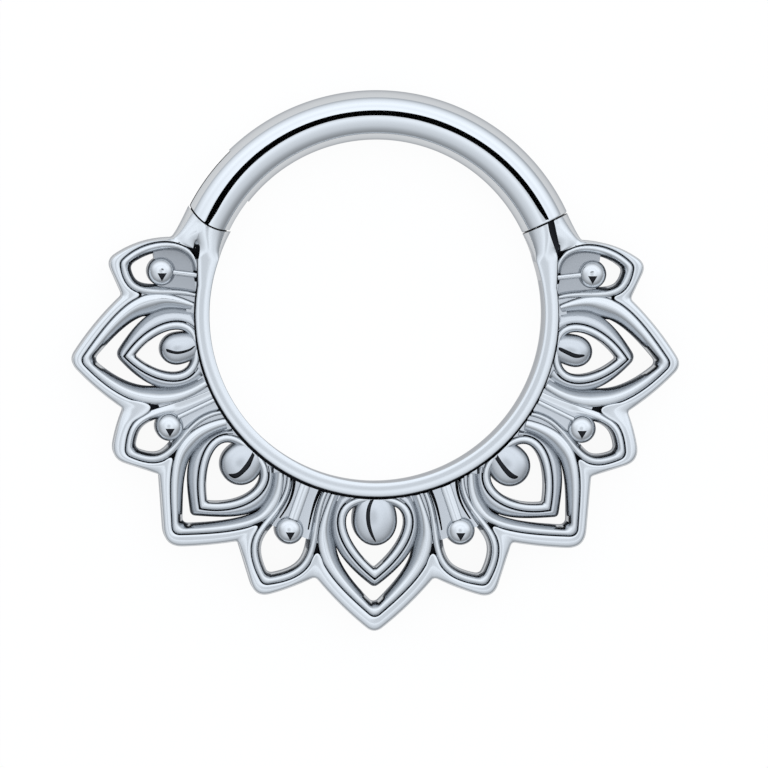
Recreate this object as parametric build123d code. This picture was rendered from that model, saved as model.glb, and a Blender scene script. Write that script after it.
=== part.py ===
from build123d import *
import math
import os

# Septum ring: a hinged round bar over a pierced, cast petal base. It lies on its flat back.
# Millimetres. Z is up, the front of the ornament looks up, and the back rests on z = 0.
# The origin is the middle of the bar's circle. X runs across the ring, Y towards the bar.

# Wire and bar
TUBE_D = 1.2
TUBE_R = TUBE_D / 2
BAR_R = 4.53
SEAM_ANGLE = 25.4
SEAM_GAP = 0.03

# Hinge at the left end of the bar
PIVOT_ANGLE = 142.4
EAR_R = 1.05
EAR_GAP = 0.04
TONGUE_R = 0.50
TONGUE_Z = (0.40, 0.80)
SLOT_GAP = 0.02
SLOT_END_GAP = 0.04
OPEN_ANGLE = 100.0
SWING_MARGIN = 4.0
PIN_D = 0.40
PIN_Z = (0.02, 1.00)
BORE_GAP = 0.02
BORE_TOP = 1.03

# Closing tab at the right end of the bar
TAB_HALF_W = 0.20
TAB_LENGTH = 0.45
TAB_ROOT = 0.50
TAB_Z = (0.42, 0.78)
TAB_GAP = 0.04
# How far, in degrees, the left arm and the tongue run into their neighbours
ARM_LAP = 3.0
TONGUE_LAP = 2.0

# Rim of the base, a smooth half-round band on its own circle
RIM_CENTER_Y = -0.31
RIM_INNER_R = 4.06
RIM_W = 0.34
RIM_TOP = 1.15
RIM_END_ANGLE = 20.5
ARM_END_ANGLE = 15.0

# Levels and widths of the cast relief
PLATE_TOP = 1.05
WEB_TOP = 0.64
CUT_TOP = 1.6
BORDER_GROOVE = 0.07
LOOP_GROOVE = 0.04
RIDGE_W = 0.25
INNER_WALL_W = 0.10
STEM_HALF_W = 0.19
SLOT_W = 0.11
STEM_LINE_W = 0.05
STEM_START = 0.12
PIT_R = 0.13
# Below and above everything, for cuts that go right through
BELOW = -1.0
ABOVE = 3.0

# Right half of the outline. Each row is a corner: x, y, its rounding, and how far the run
# that follows it bulges outwards.
OUTLINE = {
    "arm": (4.97, 1.53, 0.12, 0.15),
    "end_tip": (6.52, 0.93, 0.20, 0.00),
    "end_valley": (6.17, 0.12, 0.10, 0.07),
    "side_tip": (7.42, -1.48, 0.26, 0.06),
    "side_valley": (6.12, -2.62, 0.10, 0.05),
    "mid_tip": (6.36, -3.80, 0.22, 0.00),
    "mid_valley": (5.25, -4.20, 0.08, 0.00),
    "lower_tip": (5.05, -5.90, 0.20, 0.04),
    "lower_valley": (3.33, -5.81, 0.10, 0.00),
    "low_tip": (2.88, -7.14, 0.28, 0.05),
    "low_valley": (1.445, -6.67, 0.12, 0.06),
    "bottom_tip": (0.0, -8.02, 0.22, 0.00),
}

# Each petal line is two curves, a and b, from the rim to the tip. A row holds the rim point,
# two handles and the tip. The bottom petal is its own mirror image, so it has one row.
# The outer line is the groove round a large petal's ridge.
OUTER_LINES = {
    "bottom": {"a": ((1.10, -4.68), (1.60, -5.90), (1.58, -6.36), (0.0, -7.68))},
    "lower": {
        "a": ((3.66, -2.82), (5.25, -3.15), (4.98, -4.30), (4.92, -5.66)),
        "b": ((2.23, -4.20), (2.22, -5.42), (2.95, -5.62), (4.92, -5.66)),
    },
    "side": {
        "a": ((4.51, 0.00), (5.60, 0.45), (6.10, 0.15), (7.18, -1.46)),
        "b": ((4.13, -2.10), (5.05, -2.72), (6.00, -2.74), (7.18, -1.46)),
    },
}
# The inner line is the outer edge of the small petal inside a large one.
INNER_LINES = {
    "bottom": {"a": ((0.93, -4.68), (1.30, -5.60), (0.95, -6.25), (0.0, -6.94))},
    "lower": {
        "a": ((3.45, -3.02), (4.75, -3.45), (4.62, -4.10), (4.47, -5.20)),
        "b": ((2.42, -4.05), (2.45, -5.35), (3.30, -5.28), (4.47, -5.20)),
    },
    "side": {
        "a": ((4.50, -0.17), (5.35, -0.10), (5.70, -0.30), (6.33, -1.32)),
        "b": ((4.22, -1.90), (5.00, -2.36), (5.60, -2.15), (6.33, -1.32)),
    },
}
# The loop is the middle of the thin ridge round the drop-shaped gap.
LOOP_LINES = {
    "bottom": {"a": ((0.0, -4.78), (1.12, -4.75), (1.02, -5.75), (0.0, -6.58))},
    "lower": {
        "a": ((3.05, -3.60), (3.85, -2.85), (4.35, -3.75), (4.16, -4.93)),
        "b": ((3.05, -3.60), (2.20, -4.30), (3.05, -5.10), (4.16, -4.93)),
    },
    "side": {
        "a": ((4.40, -1.12), (4.35, -0.35), (5.35, -0.45), (5.97, -1.34)),
        "b": ((4.40, -1.12), (4.25, -2.03), (5.25, -2.02), (5.97, -1.34)),
    },
}
# The small petals between the large ones: the outer edge of their ridge.
SMALL_LINES = {
    "low": {
        "a": ((1.17, -4.66), (1.62, -5.70), (1.00, -6.70), (2.72, -6.87)),
        "b": ((2.16, -4.25), (2.20, -5.40), (3.60, -5.35), (2.72, -6.87)),
    },
    "mid": {
        "a": ((3.74, -2.74), (4.95, -2.95), (4.60, -4.45), (6.08, -3.72)),
        "b": ((4.08, -2.18), (5.35, -2.75), (6.05, -2.45), (6.08, -3.72)),
    },
    "end": {
        "a": ((4.46, 0.10), (5.30, 0.28), (6.10, -0.20), (6.24, 0.92)),
        "b": ((4.42, 1.12), (4.75, 1.62), (5.75, 1.50), (6.24, 0.92)),
    },
}

# Buds: centre x, y, direction in degrees, half length, half width
BUDS = {
    "bottom": (0.0, -5.28, -90.0, 0.56, 0.515),
    "lower": (3.27, -3.92, -50.0, 0.53, 0.45),
    "side": (4.83, -1.17, -13.0, 0.42, 0.39),
}
BUD_TOP = 1.13
# Beads: centre x, y. They are balls.
BEADS = {"low": (2.08, -5.54), "mid": (5.01, -3.045), "end": (5.23, 0.71)}
BEAD_R = 0.35
BEAD_TOP = 1.16
# Dark pits where the outline's valleys meet the ridges: x, y
PITS = {
    "end": (5.93, 0.10),
    "side": (5.80, -2.60),
    "mid": (5.04, -3.92),
    "lower": (3.02, -5.58),
    "low": (1.44, -6.30),
    "arm": (4.42, 1.22),
}
# How far along a gap's sides, from 0 at the rim to 1 at the tip, the gap starts
V_GAP_START = {"bottom": (0.52, 0.40), "lower": (0.46, 0.44), "side": (0.48, 0.46)}
LOOP_GAP_START = 0.16
SMALL_GAP_START = 0.50
# The same for the grooves
OUTER_GROOVE_START = 0.05
INNER_GROOVE_START = 0.08
LOOP_GROOVE_START = 0.30
SMALL_GROOVE_START = 0.62
GROOVE_LAP = 0.04
# Where a groove ends, a little past the tip, so that it crosses its twin there
GROOVE_END = 1.02
# Points that carry a curved cut, and the place on a line where its inner side is told
SAMPLES = 10
FINE_SAMPLES = 3 * SAMPLES
SIDE_TEST = 0.6
NORMAL_STEP = 1e-3


def polar(radius, angle, center=(0.0, 0.0)):
    """The point at a radius and an angle in degrees from a centre."""
    turn = math.radians(angle)
    return (center[0] + radius * math.cos(turn), center[1] + radius * math.sin(turn))


PIVOT = polar(BAR_R, PIVOT_ANGLE)


def curve_point(row, t):
    """A point of a petal line, t from 0 at the rim to 1 at the tip."""
    u = 1 - t
    weights = (u**3, 3 * t * u**2, 3 * t**2 * u, t**3)
    return tuple(sum(w * p[axis] for w, p in zip(weights, row)) for axis in (0, 1))


def curve_normal(row, t):
    """The unit normal of a petal line, to the left of its run from rim to tip."""
    before = curve_point(row, t - NORMAL_STEP)
    after = curve_point(row, t + NORMAL_STEP)
    dx, dy = after[0] - before[0], after[1] - before[1]
    size = math.hypot(dx, dy)
    return (-dy / size, dx / size)


def line_points(row, shift=0.0, start=0.0, end=1.0, count=SAMPLES):
    """Points along a petal line, moved sideways by shift."""
    points = []
    for i in range(count + 1):
        t = start + (end - start) * i / count
        x, y = curve_point(row, t)
        nx, ny = curve_normal(row, t)
        points.append((x + shift * nx, y + shift * ny))
    return points


def mirrored(row):
    """A row of points, mirrored across the ring's middle."""
    return tuple((-x, y) for x, y in row)


def sides(lines, petal):
    """A petal's a and b rows. The b row of the bottom petal is its a row, mirrored."""
    rows = lines[petal]
    return (rows["a"], rows["b"] if "b" in rows else mirrored(rows["a"]))


def inward(row, inside):
    """The sign of a sideways shift that goes towards the point inside."""
    x, y = curve_point(row, SIDE_TEST)
    nx, ny = curve_normal(row, SIDE_TEST)
    return 1 if (inside[0] - x) * nx + (inside[1] - y) * ny > 0 else -1


def crossing(first, second):
    """Where two point rows cross: their segment numbers and the point."""
    for i in range(len(first) - 1, 0, -1):
        ax, ay = first[i - 1]
        bx, by = first[i]
        for j in range(len(second) - 1, 0, -1):
            cx, cy = second[j - 1]
            dx, dy = second[j]
            span = (bx - ax) * (dy - cy) - (by - ay) * (dx - cx)
            if abs(span) < 1e-12:
                continue
            s = ((cx - ax) * (dy - cy) - (cy - ay) * (dx - cx)) / span
            t = ((cx - ax) * (by - ay) - (cy - ay) * (bx - ax)) / span
            if 0 <= s <= 1 and 0 <= t <= 1:
                return i, j, (ax + s * (bx - ax), ay + s * (by - ay))
    return len(first) - 1, len(second) - 1, first[-1]


def meeting(first, second):
    """Two point rows, each cut off where they cross near their ends."""
    i, j, corner = crossing(first, second)
    return first[:i] + [corner], second[:j] + [corner]


def prism(edges, bottom, top):
    """A flat closed outline made into a solid between two heights."""
    face = Pos(0, 0, bottom) * make_face(edges)
    return extrude(face, amount=top - bottom, dir=(0, 0, 1))


def stripe(row, shift, width, start=0.0, end=1.0, bottom=WEB_TOP, top=CUT_TOP):
    """A narrow band along a petal line, as a cutter."""
    left = line_points(row, shift + width / 2, start, end)
    right = line_points(row, shift - width / 2, start, end)
    edges = [Spline(*left), Line(left[-1], right[-1]), Spline(*right), Line(right[0], left[0])]
    return prism(edges, bottom, top)


def bar_run(start, end):
    """The round bar between two angles of its circle."""
    section = Plane.XZ * Pos(BAR_R, TUBE_R) * Circle(TUBE_R)
    run = revolve(section, axis=Axis.Z, revolution_arc=end - start)
    return Rot(0, 0, start) * run


def ring_sector(center, inner, outer, start, end, levels):
    """A flat sector of a ring about a centre."""
    low, high = levels
    middle = Pos((inner + outer) / 2, (low + high) / 2)
    section = Plane.XZ * middle * Rectangle(outer - inner, high - low)
    sector = revolve(section, axis=Axis.Z, revolution_arc=end - start)
    return Pos(*center) * (Rot(0, 0, start) * sector)


def rod(center, radius, levels):
    """An upright cylinder between two heights."""
    low, high = levels
    return Pos(center[0], center[1], (low + high) / 2) * Cylinder(radius, high - low)


def tongue_box(direction, half_width, length, levels):
    """A flat bar that starts at the pivot and points in a direction."""
    low, high = levels
    box = Pos(length / 2, 0, (low + high) / 2) * Box(length, 2 * half_width, high - low)
    return Pos(*PIVOT) * (Rot(0, 0, direction) * box)


def make_bar():
    """The bar: a fork with rounded ears at the hinge, a hidden tab at the closing end."""
    half_gap = math.degrees(SEAM_GAP / 2 / BAR_R)
    ear_span = math.degrees(EAR_R / BAR_R)
    body = bar_run(SEAM_ANGLE + half_gap, PIVOT_ANGLE)
    ears = bar_run(PIVOT_ANGLE - ear_span, PIVOT_ANGLE + 2 * ear_span)
    ears &= rod(PIVOT, EAR_R, (0, TUBE_D))
    slot_levels = (TONGUE_Z[0] - SLOT_GAP, TONGUE_Z[1] + SLOT_GAP)
    to_base = PIVOT_ANGLE + 90
    slot_half_w = TONGUE_R + SLOT_END_GAP
    slot = rod(PIVOT, slot_half_w, slot_levels)
    slot += tongue_box(to_base, TUBE_D, 2 * EAR_R, slot_levels)
    opened = to_base - OPEN_ANGLE - SWING_MARGIN
    swing = tongue_box(opened, slot_half_w, 2 * EAR_R, slot_levels)
    bore = rod(PIVOT, PIN_D / 2 + BORE_GAP, (BELOW, BORE_TOP))
    bar = body + ears - slot - swing - bore
    return bar + closing_tab(TAB_ROOT, TAB_LENGTH, TAB_HALF_W, TAB_Z)


def closing_tab(back, ahead, half_width, levels):
    """The tab, or with more width and length its pocket: it follows the bar's swing."""
    seam = polar(BAR_R, SEAM_ANGLE)
    reach = math.dist(seam, PIVOT)
    middle = math.degrees(math.atan2(seam[1] - PIVOT[1], seam[0] - PIVOT[0]))
    start = middle - math.degrees(ahead / reach)
    end = middle + math.degrees(back / reach)
    return ring_sector(PIVOT, reach - half_width, reach + half_width, start, end, levels)


def bulged(start, end, bulge):
    """The middle of a run, moved to the left of the run by the bulge."""
    dx, dy = end[0] - start[0], end[1] - start[1]
    size = math.hypot(dx, dy)
    middle_x, middle_y = (start[0] + end[0]) / 2, (start[1] + end[1]) / 2
    return (middle_x - bulge * dy / size, middle_y + bulge * dx / size)


def outline_edges():
    """The outline of the petals as arcs and lines, with its corners still sharp."""
    right = list(OUTLINE.values())
    left = [(-x, y, rounding, 0.0) for x, y, rounding, _ in right[-2::-1]]
    bulges = [row[3] for row in right[:-1]] + [row[3] for row in right[-2::-1]]
    corners = [row[:2] for row in right] + [row[:2] for row in left]
    edges = []
    for start, end, bulge in zip(corners, corners[1:], bulges):
        if not bulge:
            edges.append(Line(start, end))
            continue
        edges.append(ThreePointArc(start, bulged(start, end, bulge), end))
    return edges, corners


def plate_face():
    """The outline closed along the middle of the rim, with its corners rounded."""
    edges, corners = outline_edges()
    rim_middle = RIM_INNER_R + RIM_W / 2
    right_end = polar(rim_middle, RIM_END_ANGLE, (0, RIM_CENTER_Y))
    left_end = (-right_end[0], right_end[1])
    lowest = (0, RIM_CENTER_Y - rim_middle)
    edges.append(Line(corners[-1], left_end))
    edges.append(ThreePointArc(left_end, lowest, right_end))
    edges.append(Line(right_end, corners[0]))
    face = make_face(edges)
    for x, y, rounding, _ in OUTLINE.values():
        for side in {x, -x}:
            near = [v for v in face.vertices() if math.dist((v.X, v.Y), (side, y)) < 1e-4]
            face = fillet(near, rounding)
    return face


def v_gap(petal):
    """The bent gap between a large petal's ridge and the small petal inside it."""
    inside = BUDS[petal][:2]
    start_outer, start_inner = V_GAP_START[petal]
    outer = []
    inner = []
    for row, inner_row in zip(sides(OUTER_LINES, petal), sides(INNER_LINES, petal)):
        shift = inward(row, inside) * RIDGE_W
        outer.append(line_points(row, shift, start_outer, count=FINE_SAMPLES))
        inner.append(line_points(inner_row, 0.0, start_inner))
    outer_a, outer_b = meeting(*outer)
    outer_a, outer_b = thinned(outer_a), thinned(outer_b)
    inner_a, inner_b = inner
    edges = [
        Spline(*outer_a),
        Spline(*outer_b),
        Line(outer_b[0], inner_b[0]),
        Spline(*inner_b),
        Spline(*inner_a),
        Line(inner_a[0], outer_a[0]),
    ]
    return prism(edges, BELOW, CUT_TOP)


def thinned(points, step=3):
    """Every third point, with both ends kept."""
    kept = points[:-1:step]
    return kept + [points[-1]] if len(kept) > 1 else [points[0], points[-1]]


def drop_gap(petal):
    """The drop-shaped gap round a bud, inside the thin ridge."""
    inside = BUDS[petal][:2]
    rows = []
    for row in sides(LOOP_LINES, petal):
        shift = inward(row, inside) * INNER_WALL_W
        rows.append(line_points(row, shift, LOOP_GAP_START, count=FINE_SAMPLES))
    side_a, side_b = meeting(*rows)
    side_a, side_b = thinned(side_a), thinned(side_b)
    edges = [Spline(*side_a), Spline(*side_b), Line(side_b[0], side_a[0])]
    return prism(edges, BELOW, CUT_TOP)


def small_gap(petal):
    """The gap past the bead of a small petal."""
    inside = BEADS[petal]
    rows = []
    for row in sides(SMALL_LINES, petal):
        shift = inward(row, inside) * RIDGE_W
        rows.append(line_points(row, shift, SMALL_GAP_START, count=FINE_SAMPLES))
    side_a, side_b = meeting(*rows)
    side_a, side_b = thinned(side_a), thinned(side_b)
    edges = [Spline(*side_a), Spline(*side_b), Line(side_b[0], side_a[0])]
    return prism(edges, BELOW, CUT_TOP)


def large_petal_cuts(petal):
    """The gaps and grooves of a large petal."""
    inside = BUDS[petal][:2]
    inner_end = V_GAP_START[petal][1] + GROOVE_LAP
    cuts = [v_gap(petal), drop_gap(petal)]
    for row in sides(OUTER_LINES, petal):
        shift = -inward(row, inside) * BORDER_GROOVE / 2
        cuts.append(stripe(row, shift, BORDER_GROOVE, OUTER_GROOVE_START, GROOVE_END))
    for row in sides(INNER_LINES, petal):
        cuts.append(stripe(row, 0.0, BORDER_GROOVE, INNER_GROOVE_START, inner_end))
    for row in sides(LOOP_LINES, petal):
        shift = -inward(row, inside) * (INNER_WALL_W + LOOP_GROOVE / 4)
        cuts.append(stripe(row, shift, LOOP_GROOVE, LOOP_GROOVE_START, GROOVE_END))
    return cuts


def small_petal_cuts(petal):
    """The gap, and the groove along the border."""
    inside = BEADS[petal]
    cuts = [small_gap(petal)]
    for row in sides(SMALL_LINES, petal):
        shift = -inward(row, inside) * BORDER_GROOVE / 2
        cuts.append(stripe(row, shift, BORDER_GROOVE, SMALL_GROOVE_START, GROOVE_END))
    return cuts + stem_cuts(petal)


def stem_cuts(petal):
    """The slot on each side of a stem, which runs from the rim to its bead, and its middle line."""
    distance = math.hypot(*BEADS[petal])
    direction = math.degrees(math.atan2(BEADS[petal][1], BEADS[petal][0]))
    rim_shift = -RIM_CENTER_Y * abs(math.sin(math.radians(direction)))
    start = RIM_INNER_R + RIM_W + STEM_START + rim_shift
    side = STEM_HALF_W + SLOT_W / 2
    height = CUT_TOP - WEB_TOP
    cuts = []
    for offset, width in ((side, SLOT_W), (0.0, STEM_LINE_W), (-side, SLOT_W)):
        place = Pos((start + distance) / 2, offset, WEB_TOP + height / 2)
        slot = place * Box(distance - start, width, height)
        cuts.append(Rot(0, 0, direction) * slot)
    return cuts


def both_sides(solids):
    """The solids and their mirror images across the ring's middle."""
    return solids + [mirror(solid, about=Plane.YZ) for solid in solids]


def relief_cuts():
    """Everything that is cut from the flat plate."""
    cuts = large_petal_cuts("bottom")
    half = large_petal_cuts("lower") + large_petal_cuts("side")
    for petal in SMALL_LINES:
        half += small_petal_cuts(petal)
    for pit in PITS.values():
        half.append(rod(pit, PIT_R, (WEB_TOP, CUT_TOP)))
    return cuts + both_sides(half)


def make_rim():
    """The half-round band inside the petals."""
    radius = RIM_W / 2
    middle = RIM_INNER_R + radius
    shoulder = RIM_TOP - radius
    edges = [
        Line((middle - radius, 0), (middle - radius, shoulder)),
        ThreePointArc((middle - radius, shoulder), (middle, RIM_TOP), (middle + radius, shoulder)),
        Line((middle + radius, shoulder), (middle + radius, 0)),
        Line((middle + radius, 0), (middle - radius, 0)),
    ]
    section = Plane.XZ * make_face(edges)
    start = 180 - RIM_END_ANGLE
    rim = revolve(section, axis=Axis.Z, revolution_arc=180 + 2 * RIM_END_ANGLE)
    return Pos(0, RIM_CENTER_Y) * (Rot(0, 0, start) * rim)


def make_bud(petal):
    """An egg-shaped bud that lies along its petal."""
    x, y, direction, half_length, half_width = BUDS[petal]
    edges = [
        Line((-half_length, 0), (half_length, 0)),
        EllipticalCenterArc((0, 0), half_length, half_width, start_angle=0, arc_size=180),
    ]
    bud = revolve(make_face(edges), axis=Axis.X, revolution_arc=360)
    return Pos(x, y, BUD_TOP - half_width) * (Rot(0, 0, direction) * bud)


def make_bead(petal):
    """The round bead of a small petal."""
    x, y = BEADS[petal]
    return Pos(x, y, BEAD_TOP - BEAD_R) * Sphere(BEAD_R)


def make_right_arm():
    """The round end that the bar closes on, with a blind pocket for the tab."""
    half_gap = math.degrees(SEAM_GAP / 2 / BAR_R)
    arm = bar_run(ARM_END_ANGLE, SEAM_ANGLE - half_gap)
    levels = (TAB_Z[0] - TAB_GAP, TAB_Z[1] + TAB_GAP)
    return arm - closing_tab(TAB_ROOT, TAB_LENGTH + TAB_GAP, TAB_HALF_W + TAB_GAP, levels)


def make_left_arm():
    """The round end at the hinge, hollowed for the bar's fork."""
    arm = bar_run(PIVOT_ANGLE + ARM_LAP, 180 - ARM_END_ANGLE)
    return arm - rod(PIVOT, EAR_R + EAR_GAP, (BELOW, ABOVE))


def make_tongue():
    """The flat tongue that carries the pin between the two ears of the fork."""
    inner, outer = BAR_R - TONGUE_R, BAR_R + TONGUE_R
    end = 180 - ARM_END_ANGLE - TONGUE_LAP
    return ring_sector((0, 0), inner, outer, PIVOT_ANGLE, end, TONGUE_Z) + rod(PIVOT, TONGUE_R, TONGUE_Z)


def make_base():
    """The cast base: pierced petals with their relief, rim, buds, beads and arms."""
    plate = extrude(plate_face(), amount=PLATE_TOP, dir=(0, 0, 1))
    base = plate - relief_cuts()
    grown = [make_rim(), make_right_arm(), make_left_arm(), make_tongue(), make_bud("bottom")]
    right = [make_bud("lower"), make_bud("side")] + [make_bead(petal) for petal in BEADS]
    for part in grown + both_sides(right):
        base += part
    return base - rod(PIVOT, PIN_D / 2, (BELOW, ABOVE))


def make_pin():
    """The rivet, pressed into the tongue."""
    return rod(PIVOT, PIN_D / 2, PIN_Z)


os.makedirs("parts", exist_ok=True)
for node, shape in {
    "filigree_base": make_base(),
    "hinged_bar": make_bar(),
    "hinge_pin": make_pin(),
}.items():
    export_step(shape, f"parts/{node}.step")
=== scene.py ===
import math

import bmesh
import bpy
import numpy as np
from mathutils import Matrix, Vector


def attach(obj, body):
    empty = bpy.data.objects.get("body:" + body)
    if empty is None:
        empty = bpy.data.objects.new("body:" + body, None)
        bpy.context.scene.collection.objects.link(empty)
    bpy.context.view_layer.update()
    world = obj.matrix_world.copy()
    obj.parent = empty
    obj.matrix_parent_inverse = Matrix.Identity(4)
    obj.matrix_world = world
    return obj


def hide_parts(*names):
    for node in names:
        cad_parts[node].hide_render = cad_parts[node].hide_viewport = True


# Septum ring: a hinged round bar over a pierced, cast petal base. It lies on its flat back.
# The drawing is in millimetres in the part's own frame, and each finished mesh is scaled to metres.
MM = 0.001

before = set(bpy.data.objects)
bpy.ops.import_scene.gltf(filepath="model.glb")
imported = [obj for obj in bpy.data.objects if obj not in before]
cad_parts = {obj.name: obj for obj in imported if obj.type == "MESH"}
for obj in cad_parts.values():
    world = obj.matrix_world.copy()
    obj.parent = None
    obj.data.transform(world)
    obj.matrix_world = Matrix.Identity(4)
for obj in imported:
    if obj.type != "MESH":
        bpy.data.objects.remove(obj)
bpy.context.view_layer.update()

# Wire and bar
TUBE_R = 0.6
BAR_R = 4.53
SEAM_ANGLE = 25.4
SEAM_GAP = 0.03
END_BEVEL = 0.035
SEAM_CUT_RADII = (2.5, 7.0)
SEAM_CUT_SPAN = 25.0

# Hinge at the left end of the bar
PIVOT_ANGLE = 142.4
EAR_R = 1.05
EAR_GAP = 0.04
TONGUE_R = 0.50
TONGUE_Z = (0.40, 0.80)
SLOT_GAP = 0.02
SLOT_END_GAP = 0.04
TONGUE_ROOT_ANGLE = 163.0
OPEN_ANGLE = 100.0
SWING_MARGIN = 4.0
PIN_R = 0.20
BORE_GAP = 0.02
BORE_TOP = 1.03

# Closing tab at the right end of the bar
TAB_HALF_W = 0.20
TAB_LENGTH = 0.45
TAB_ROOT = 0.50
TAB_Z = (0.42, 0.78)
TAB_GAP = 0.04

# Rim of the base, on its own circle
RIM_CENTER = (0.0, -0.31)
RIM_INNER_R = 4.06
RIM_OUTER_R = 4.40
RIM_TOP = 1.15
RIM_LAP = 0.005

# The arms, where they part into rim and border
ARM_PIT = (4.40, 1.25)
ARM_TOP_ANGLE = 28.5
ARM_MIDDLE_ANGLE = 21.0
ARM_SLANT = 20.0
ARM_HANDLE = 0.75
RIM_START_ANGLE = 31.5
RIM_TURN_ANGLE = 20.5
RIM_ARC_ANGLE = 9.0
WEB_END_ANGLE = 18.0

# Right half of the outline. Each row is a corner: x, y, its rounding, and how far the run
# that follows it bulges outwards.
OUTLINE = {
    "arm": (4.97, 1.53, 0.12, 0.15),
    "end_tip": (6.55, 0.95, 0.32, 0.00),
    "end_valley": (6.17, 0.12, 0.10, 0.07),
    "side_tip": (7.44, -1.48, 0.34, 0.06),
    "side_valley": (6.12, -2.62, 0.10, 0.05),
    "mid_tip": (6.41, -3.83, 0.45, 0.00),
    "mid_valley": (5.25, -4.20, 0.08, 0.00),
    "lower_tip": (5.11, -5.95, 0.48, 0.04),
    "lower_valley": (3.33, -5.81, 0.10, 0.00),
    "low_tip": (2.90, -7.18, 0.40, 0.05),
    "low_valley": (1.445, -6.67, 0.12, 0.06),
    "bottom_tip": (0.0, -8.05, 0.32, 0.00),
}
# The petal and the row of its line that each run of the outline follows on its inner side
RUN_LINES = (
    ("end", 1), ("end", 0), ("side", 0), ("side", 1), ("mid", 1), ("mid", 0),
    ("lower", 0), ("lower", 1), ("low", 1), ("low", 0), ("bottom", 0),
)

# Each petal line is two curves, from the rim to the tip. A row holds the rim point, two handles
# and the tip. The bottom petal is its own mirror image, so it has one row.
OUTER_LINES = {
    "bottom": (((1.10, -4.68), (1.60, -5.90), (1.58, -6.36), (0.0, -7.68)),),
    "lower": (
        ((3.66, -2.82), (5.25, -3.15), (4.98, -4.30), (4.92, -5.66)),
        ((2.23, -4.20), (2.22, -5.42), (2.95, -5.62), (4.92, -5.66)),
    ),
    "side": (
        ((4.51, 0.00), (5.60, 0.45), (6.10, 0.15), (7.18, -1.46)),
        ((4.13, -2.10), (5.05, -2.72), (6.00, -2.74), (7.18, -1.46)),
    ),
}
INNER_LINES = {
    "bottom": (((0.93, -4.68), (1.30, -5.60), (0.95, -6.25), (0.0, -6.94)),),
    "lower": (
        ((3.45, -3.02), (4.75, -3.45), (4.62, -4.10), (4.47, -5.20)),
        ((2.42, -4.05), (2.45, -5.35), (3.30, -5.28), (4.47, -5.20)),
    ),
    "side": (
        ((4.50, -0.17), (5.35, -0.10), (5.70, -0.30), (6.33, -1.32)),
        ((4.22, -1.90), (5.00, -2.36), (5.60, -2.15), (6.33, -1.32)),
    ),
}
LOOP_LINES = {
    "bottom": (((0.0, -4.78), (1.12, -4.75), (1.02, -5.75), (0.0, -6.58)),),
    "lower": (
        ((3.05, -3.60), (3.85, -2.85), (4.35, -3.75), (4.16, -4.93)),
        ((3.05, -3.60), (2.20, -4.30), (3.05, -5.10), (4.16, -4.93)),
    ),
    "side": (
        ((4.40, -1.12), (4.35, -0.35), (5.35, -0.45), (5.97, -1.34)),
        ((4.40, -1.12), (4.25, -2.03), (5.25, -2.02), (5.97, -1.34)),
    ),
}
SMALL_LINES = {
    "low": (
        ((1.17, -4.66), (1.62, -5.70), (1.00, -6.70), (2.72, -6.87)),
        ((2.16, -4.25), (2.20, -5.40), (3.60, -5.35), (2.72, -6.87)),
    ),
    "mid": (
        ((3.74, -2.74), (4.95, -2.95), (4.60, -4.45), (6.08, -3.72)),
        ((4.08, -2.18), (5.35, -2.75), (6.05, -2.45), (6.08, -3.72)),
    ),
    "end": (
        ((4.46, 0.10), (5.30, 0.28), (6.10, -0.20), (6.24, 0.92)),
        ((4.42, 1.12), (4.75, 1.62), (5.75, 1.50), (6.24, 0.92)),
    ),
}

# Buds: centre x, y, direction in degrees, half length, half width
BUDS = {
    "bottom": (0.0, -5.31, -90.0, 0.605, 0.54),
    "lower": (3.265, -3.95, -50.0, 0.515, 0.505),
    "side": (4.83, -1.16, -13.0, 0.43, 0.39),
}
BUD_RIM_REACH = {"bottom": 0.75, "lower": 0.64, "side": 0.66}
BUD_TOP = 1.13
BUD_FALL = 0.30
FURROW_DEPTH = 0.04
BEADS = {"low": (2.08, -5.54), "mid": (5.01, -3.045), "end": (5.23, 0.71)}
BEAD_R = 0.35
BEAD_TOP = 1.16
BEAD_FALL = 0.31
# The three-cornered mark on each bead: a shallow recess painted dark as a reflection.
BEAD_REFLECTION_MARK = ((-0.125, -0.04), (-0.01, -0.235), (0.10, -0.04))
MARK_DEPTH = 0.03
DOME_LOW = 0.20
MARK_CUT_LOW = DOME_LOW + 0.05

# Widths and levels of the cast relief
GROOVE = 0.014
RIDGE_W = 0.25
LOOP_HALF_W = 0.10
LOOP_GROOVE = 0.02
BAND_START = 0.2
RIM_GROOVE = 0.075
RIM_GROOVE_LOW = 0.55
RIM_GROOVE_LAP = 0.03
SMALL_RIDGE_AT_RIM = 0.15
PANEL_LAP = 0.04
SLOT_W = 0.085
SLOT_END_W = 0.3 * SLOT_W
SLOT_PART = slice(1, 20)
WEB_TOP = 0.60
BED_LOW = 0.05
BED_TOP = 0.88
BED_RIM_REACH = 0.22
BED_OUTER_R = 5.72
BED_SPAN = (-190.0, 10.0)
FLOOR_START = -0.15
BORDER_TOP = 1.04
RIDGE_TOP = 1.05
BAND_TOP = 0.98
LOOP_TOP = 1.03
STEM_TOP = 1.03
PANEL_TOP = 0.91
STRIP_LOW = 0.03
STRIP_LOW_RISE = 0.03
RELIEF_LOW = 0.45
RIDGE_SLOPE = 1.0
RIDGE_SLOPE_LIMIT = 0.26
V_GAP_START = {"bottom": (0.52, 0.40), "lower": (0.46, 0.44), "side": (0.48, 0.46)}
LOOP_GAP_START = 0.16
SMALL_GAP_START = {"low": (0.385, 0.425), "mid": (0.48, 0.395), "end": (0.36, 0.66)}

# Roundings and laps
TIP_R = 0.22
GAP_TIP_R = 0.16
GAP_LAP = 0.055
BAND_LAP = 0.06
BAND_LAP_FADE = 0.15
WIDTH_SOFTNESS = 0.012
BAND_TIP_R = {"bottom": 0.16, "lower": 0.13, "side": 0.24}
LOOP_TIP_R = 0.06
LOOP_OUTER_TIP_R = 0.05
PIT_R = 0.07

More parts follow.
